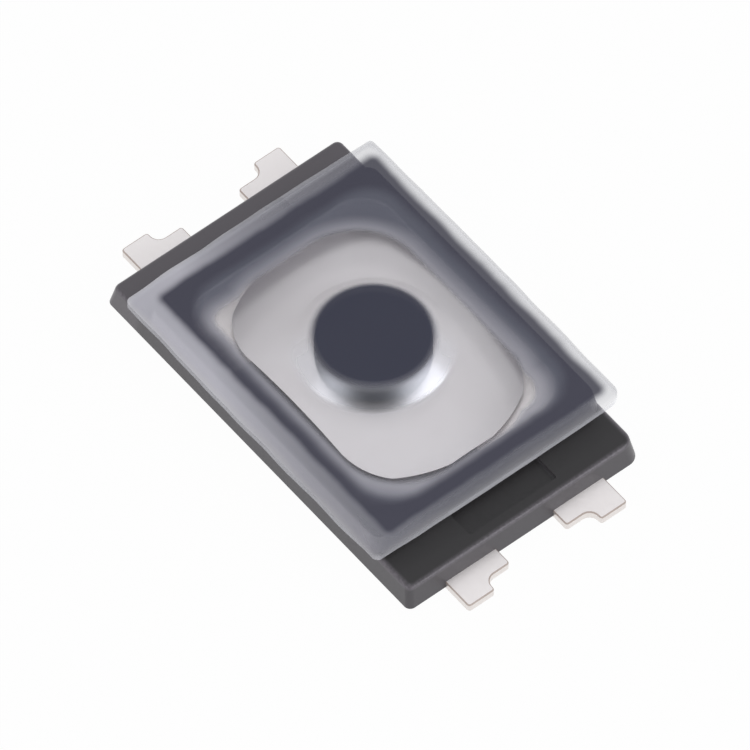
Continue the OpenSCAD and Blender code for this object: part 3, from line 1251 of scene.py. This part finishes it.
stage = {
    "floorSize": 60.0,
    "floorHeight": -0.001,
    "floorGlow": 0.97,
    "floorColour": (0.88, 0.88, 0.88, 1),
    "floorRoughness": 0.9,
    "worldStrength": 0.53,
    "glossyStrength": 0.80,
    "glossyColour": (0.95, 0.97, 1.0, 1),
    "lampColour": (0.96, 0.97, 1.0),
    "frontTowards": (-39, 27),  # the studio's dark front: turn and height in degrees
    "frontShade": 0.95,
    "frontSpan": (0.78, 0.97),  # cosines from its middle, from its edge to its darkest
}

# Each lamp: distance and size in mm, direction in degrees, brightness of its face
lamps = {
    "overheadBox": {"turn": 150, "height": 76, "distance": 30, "size": (26, 26), "glow": 0.30},
    "leftBox": {"turn": -95, "height": 30, "distance": 30, "size": (17, 6), "glow": 3.2},
    "rightBox": {"turn": 30, "height": 26, "distance": 30, "size": (29, 8), "glow": 3.9},
    "backBox": {"turn": 141, "height": 27, "distance": 30, "size": (22, 8), "glow": 0.4},
}


def makeFloor():
    bm = bmesh.new()
    bmesh.ops.create_grid(bm, x_segments=1, y_segments=1, size=stage["floorSize"] / 2)
    bmesh.ops.translate(bm, verts=bm.verts[:], vec=(0, 0, stage["floorHeight"]))
    floor = meshObject(bm, "paleFloor")
    floor.data.transform(Matrix.Scale(toMetres, 4))
    material, nodes, links, shader = newMaterial("paleFloor")
    shader.inputs["Base Color"].default_value = stage["floorColour"]
    shader.inputs["Roughness"].default_value = stage["floorRoughness"]
    glow = nodes.new("ShaderNodeEmission")
    rays = nodes.new("ShaderNodeLightPath")
    mix = nodes.new("ShaderNodeMixShader")
    seen = rays.outputs["Is Camera Ray"]
    for kind in ("Is Glossy Ray", "Is Transmission Ray"):
        seen = addMath(nodes, links, "MAXIMUM", seen, rays.outputs[kind])
    links.new(addMath(nodes, links, "MULTIPLY", seen, stage["floorGlow"]), mix.inputs[0])
    links.new(shader.outputs[0], mix.inputs[1])
    links.new(glow.outputs[0], mix.inputs[2])
    links.new(mix.outputs[0], nodes["Material Output"].inputs["Surface"])
    floor.data.materials.append(material)


def makeLamps():
    for name, lamp in lamps.items():
        turn, height = math.radians(lamp["turn"]), math.radians(lamp["height"])
        level = math.cos(height)
        towards = Vector((math.cos(turn) * level, math.sin(turn) * level, math.sin(height)))
        wide, tall = (side * toMetres for side in lamp["size"])
        data = bpy.data.lights.new(name, "AREA")
        data.shape = "RECTANGLE"
        data.size, data.size_y = wide, tall
        data.energy = lamp["glow"] * math.pi * wide * tall
        data.color = stage["lampColour"]
        piece = bpy.data.objects.new(name, data)
        scene.collection.objects.link(piece)
        piece.visible_camera = False
        piece.location = towards * lamp["distance"] * toMetres
        piece.rotation_mode = "QUATERNION"
        piece.rotation_quaternion = (-towards).to_track_quat("-Z", "Y")


def addFrontShade(nodes, links):
    turn, height = (math.radians(angle) for angle in stage["frontTowards"])
    level = math.cos(height)
    place = nodes.new("ShaderNodeTexCoord")
    nearness = nodes.new("ShaderNodeVectorMath")
    nearness.operation = "DOT_PRODUCT"
    links.new(place.outputs["Generated"], nearness.inputs[0])
    front = (math.cos(turn) * level, math.sin(turn) * level, math.sin(height))
    nearness.inputs[1].default_value = front
    dark = 1.0 - stage["frontShade"]
    return addRange(nodes, links, nearness.outputs["Value"], *stage["frontSpan"], 1.0, dark)


def makeSurroundings():
    world = bpy.data.worlds.new("paleStudio")
    world.use_nodes = True
    scene.world = world
    nodes, links = world.node_tree.nodes, world.node_tree.links
    backdrop = nodes["Background"]
    rays = nodes.new("ShaderNodeLightPath")
    plain, shiny = stage["worldStrength"], stage["glossyStrength"]
    lit = addFrontShade(nodes, links)
    lit = addMath(nodes, links, "MULTIPLY", lit, shiny)
    lit = addMath(nodes, links, "SUBTRACT", lit, plain)
    glossy = addMath(nodes, links, "MULTIPLY", rays.outputs["Is Glossy Ray"], lit)
    camera = addMath(nodes, links, "MULTIPLY", rays.outputs["Is Camera Ray"], 1 - plain)
    strength = addMath(nodes, links, "ADD", addMath(nodes, links, "ADD", glossy, plain), camera)
    links.new(strength, backdrop.inputs["Strength"])
    white = (1, 1, 1, 1)
    tint = addMix(nodes, links, rays.outputs["Is Glossy Ray"], white, stage["glossyColour"])
    links.new(tint, backdrop.inputs["Color"])


makeFloor()
makeLamps()
makeSurroundings()
scene.view_settings.view_transform = "Standard"
print("stage and lamps placed")
